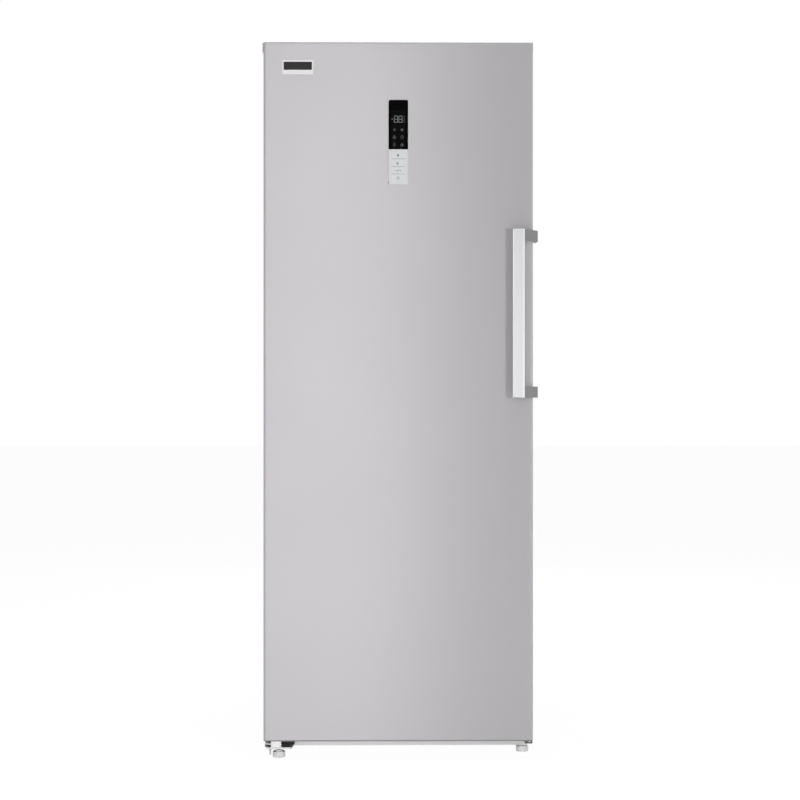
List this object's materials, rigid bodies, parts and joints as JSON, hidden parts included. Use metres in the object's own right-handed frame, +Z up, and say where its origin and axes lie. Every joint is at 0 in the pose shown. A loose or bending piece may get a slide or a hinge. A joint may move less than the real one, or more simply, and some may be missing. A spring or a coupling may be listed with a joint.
{
  "type": "upright freezer",
  "caption": "Tall free-standing freezer with one full-height steel door, side bar handle, door display with keys, and inner drawers and glass shelves.",
  "frame": {"origin": "centre of the overall footprint, on the floor", "axes": "+Z up, front (door) faces -Y, +X to the right as seen from the front"},
  "size_m": [0.715, 0.763, 1.86],
  "materials": {
    "door_steel": "satin",
    "cabinet_paint": "satin",
    "zinc_sheet": "matte",
    "hinge_steel": "satin",
    "fastener_steel": "polished",
    "foam": "matte",
    "liner_white": "gloss",
    "cap_grey": "satin",
    "white_nylon": "satin",
    "foot_plastic": "satin",
    "black_plastic": "matte",
    "gasket_rubber": "matte",
    "mount_rubber": "matte",
    "shelf_glass": "polished",
    "drawer_clear": "gloss",
    "lens_clear": "gloss",
    "black_glass": "polished",
    "handle_aluminium": "satin",
    "arm_silver": "satin",
    "key_silver": "satin",
    "badge_silver": "satin",
    "board_green": "satin",
    "coil_aluminium": "satin",
    "heater_steel": "satin",
    "motor_steel": "satin",
    "machine_black": "gloss"
  },
  "bodies": {
    "cabinet": {"outer_wrap": "cabinet_paint", "back_panel": "zinc_sheet", "bottom_plate": "zinc_sheet", "cabinet_foam": "foam", "inner_liner": "liner_white", "base_front_rail": "cabinet_paint", "base_pan": "zinc_sheet", "roller_axles": "fastener_steel", "glass_shelves": "shelf_glass", "shelf_trims": "liner_white", "duct_cover": "liner_white", "light_lens": "lens_clear", "evaporator": "coil_aluminium", "defrost_heater": "heater_steel", "evaporator_fan_motor": "motor_steel", "compressor": "machine_black", "compressor_mounts": "mount_rubber", "condenser": "machine_black", "drip_tray": "black_plastic", "condenser_fan_motor": "motor_steel", "fan_shroud": "black_plastic", "rear_cover": "zinc_sheet", "cable_gland": "black_plastic", "upper_hinge_bracket": "hinge_steel", "upper_hinge_cover": "cap_grey", "lower_hinge_bracket": "hinge_steel", "lower_hinge_pin": "fastener_steel", "closer_block": "white_nylon", "cabinet_screws": "fastener_steel"},
    "door": {"door_skin": "door_steel", "door_top_cap": "cap_grey", "door_bottom_cap": "cap_grey", "hinge_bushes": "white_nylon", "door_foam": "foam", "door_liner": "liner_white", "door_gasket": "gasket_rubber", "handle_bar": "handle_aluminium", "lower_handle_arm": "arm_silver", "upper_handle_arm": "arm_silver", "handle_screws": "fastener_steel", "display_glass": "black_glass", "key_frame": "key_silver", "display_housing": "black_plastic", "display_board": "board_green", "badge_plate": "badge_silver"},
    "left_foot": {"left_foot": "foot_plastic"},
    "right_foot": {"right_foot": "foot_plastic"},
    "left_roller": {"left_roller": "black_plastic"},
    "right_roller": {"right_roller": "black_plastic"},
    "evaporator_fan": {"evaporator_fan": "black_plastic"},
    "condenser_fan": {"condenser_fan": "black_plastic"},
    "key_1": {"key_1": "key_silver"},
    "key_2": {"key_2": "key_silver"},
    "key_3": {"key_3": "key_silver"},
    "key_4": {"key_4": "key_silver"},
    "drawer_1": {"drawer_1": "drawer_clear"},
    "drawer_2": {"drawer_2": "drawer_clear"},
    "drawer_3": {"drawer_3": "drawer_clear"},
    "drawer_4": {"drawer_4": "drawer_clear"},
    "drawer_5": {"drawer_5": "drawer_clear"}
  },
  "joints": [
    {"name": "door_hinge", "type": "hinge", "parent": "cabinet", "child": "door", "pos_m": [-0.33905, -0.3055, 0.954], "axis": [0, 0, -1], "range_deg": [0, 110]},
    {"name": "drawer_1_slide", "type": "slide", "parent": "cabinet", "child": "drawer_1", "axis": [0, -1, 0], "range_m": [0, 0.4]},
    {"name": "drawer_2_slide", "type": "slide", "parent": "cabinet", "child": "drawer_2", "axis": [0, -1, 0], "range_m": [0, 0.4]},
    {"name": "drawer_3_slide", "type": "slide", "parent": "cabinet", "child": "drawer_3", "axis": [0, -1, 0], "range_m": [0, 0.4]},
    {"name": "drawer_4_slide", "type": "slide", "parent": "cabinet", "child": "drawer_4", "axis": [0, -1, 0], "range_m": [0, 0.4]},
    {"name": "drawer_5_slide", "type": "slide", "parent": "cabinet", "child": "drawer_5", "axis": [0, -1, 0], "range_m": [0, 0.25]},
    {"name": "key_1_press", "type": "slide", "parent": "door", "child": "key_1", "axis": [0, 1, 0], "range_m": [0, 0.0006], "stiffness_N_per_m": 1200},
    {"name": "key_2_press", "type": "slide", "parent": "door", "child": "key_2", "axis": [0, 1, 0], "range_m": [0, 0.0006], "stiffness_N_per_m": 1200},
    {"name": "key_3_press", "type": "slide", "parent": "door", "child": "key_3", "axis": [0, 1, 0], "range_m": [0, 0.0006], "stiffness_N_per_m": 1200},
    {"name": "key_4_press", "type": "slide", "parent": "door", "child": "key_4", "axis": [0, 1, 0], "range_m": [0, 0.0006], "stiffness_N_per_m": 1200},
    {"name": "left_foot_turn", "type": "hinge", "parent": "cabinet", "child": "left_foot", "pos_m": [-0.31655, -0.2985, 0], "axis": [0, 0, 1], "continuous": true},
    {"name": "right_foot_turn", "type": "hinge", "parent": "cabinet", "child": "right_foot", "pos_m": [0.32475, -0.2305, 0], "axis": [0, 0, 1], "continuous": true},
    {"name": "left_roller_spin", "type": "hinge", "parent": "cabinet", "child": "left_roller", "pos_m": [-0.30505, 0.3315, 0.013], "axis": [1, 0, 0], "continuous": true},
    {"name": "right_roller_spin", "type": "hinge", "parent": "cabinet", "child": "right_roller", "pos_m": [0.29495, 0.3315, 0.013], "axis": [1, 0, 0], "continuous": true},
    {"name": "evaporator_fan_spin", "type": "hinge", "parent": "cabinet", "child": "evaporator_fan", "pos_m": [-0.00505, 0.2675, 0.74], "axis": [0, 1, 0], "continuous": true},
    {"name": "condenser_fan_spin", "type": "hinge", "parent": "cabinet", "child": "condenser_fan", "pos_m": [0.00295, 0.259, 0.135], "axis": [1, 0, 0], "continuous": true}
  ],
  "couplings": [
    {"joint": "drawer_1_slide", "follows": "door_hinge", "m_per_rad": 0.045},
    {"joint": "drawer_2_slide", "follows": "door_hinge", "m_per_rad": 0.055},
    {"joint": "drawer_3_slide", "follows": "door_hinge", "m_per_rad": 0.065},
    {"joint": "drawer_4_slide", "follows": "door_hinge", "m_per_rad": 0.075},
    {"joint": "drawer_5_slide", "follows": "door_hinge", "m_per_rad": 0.085}
  ]
}
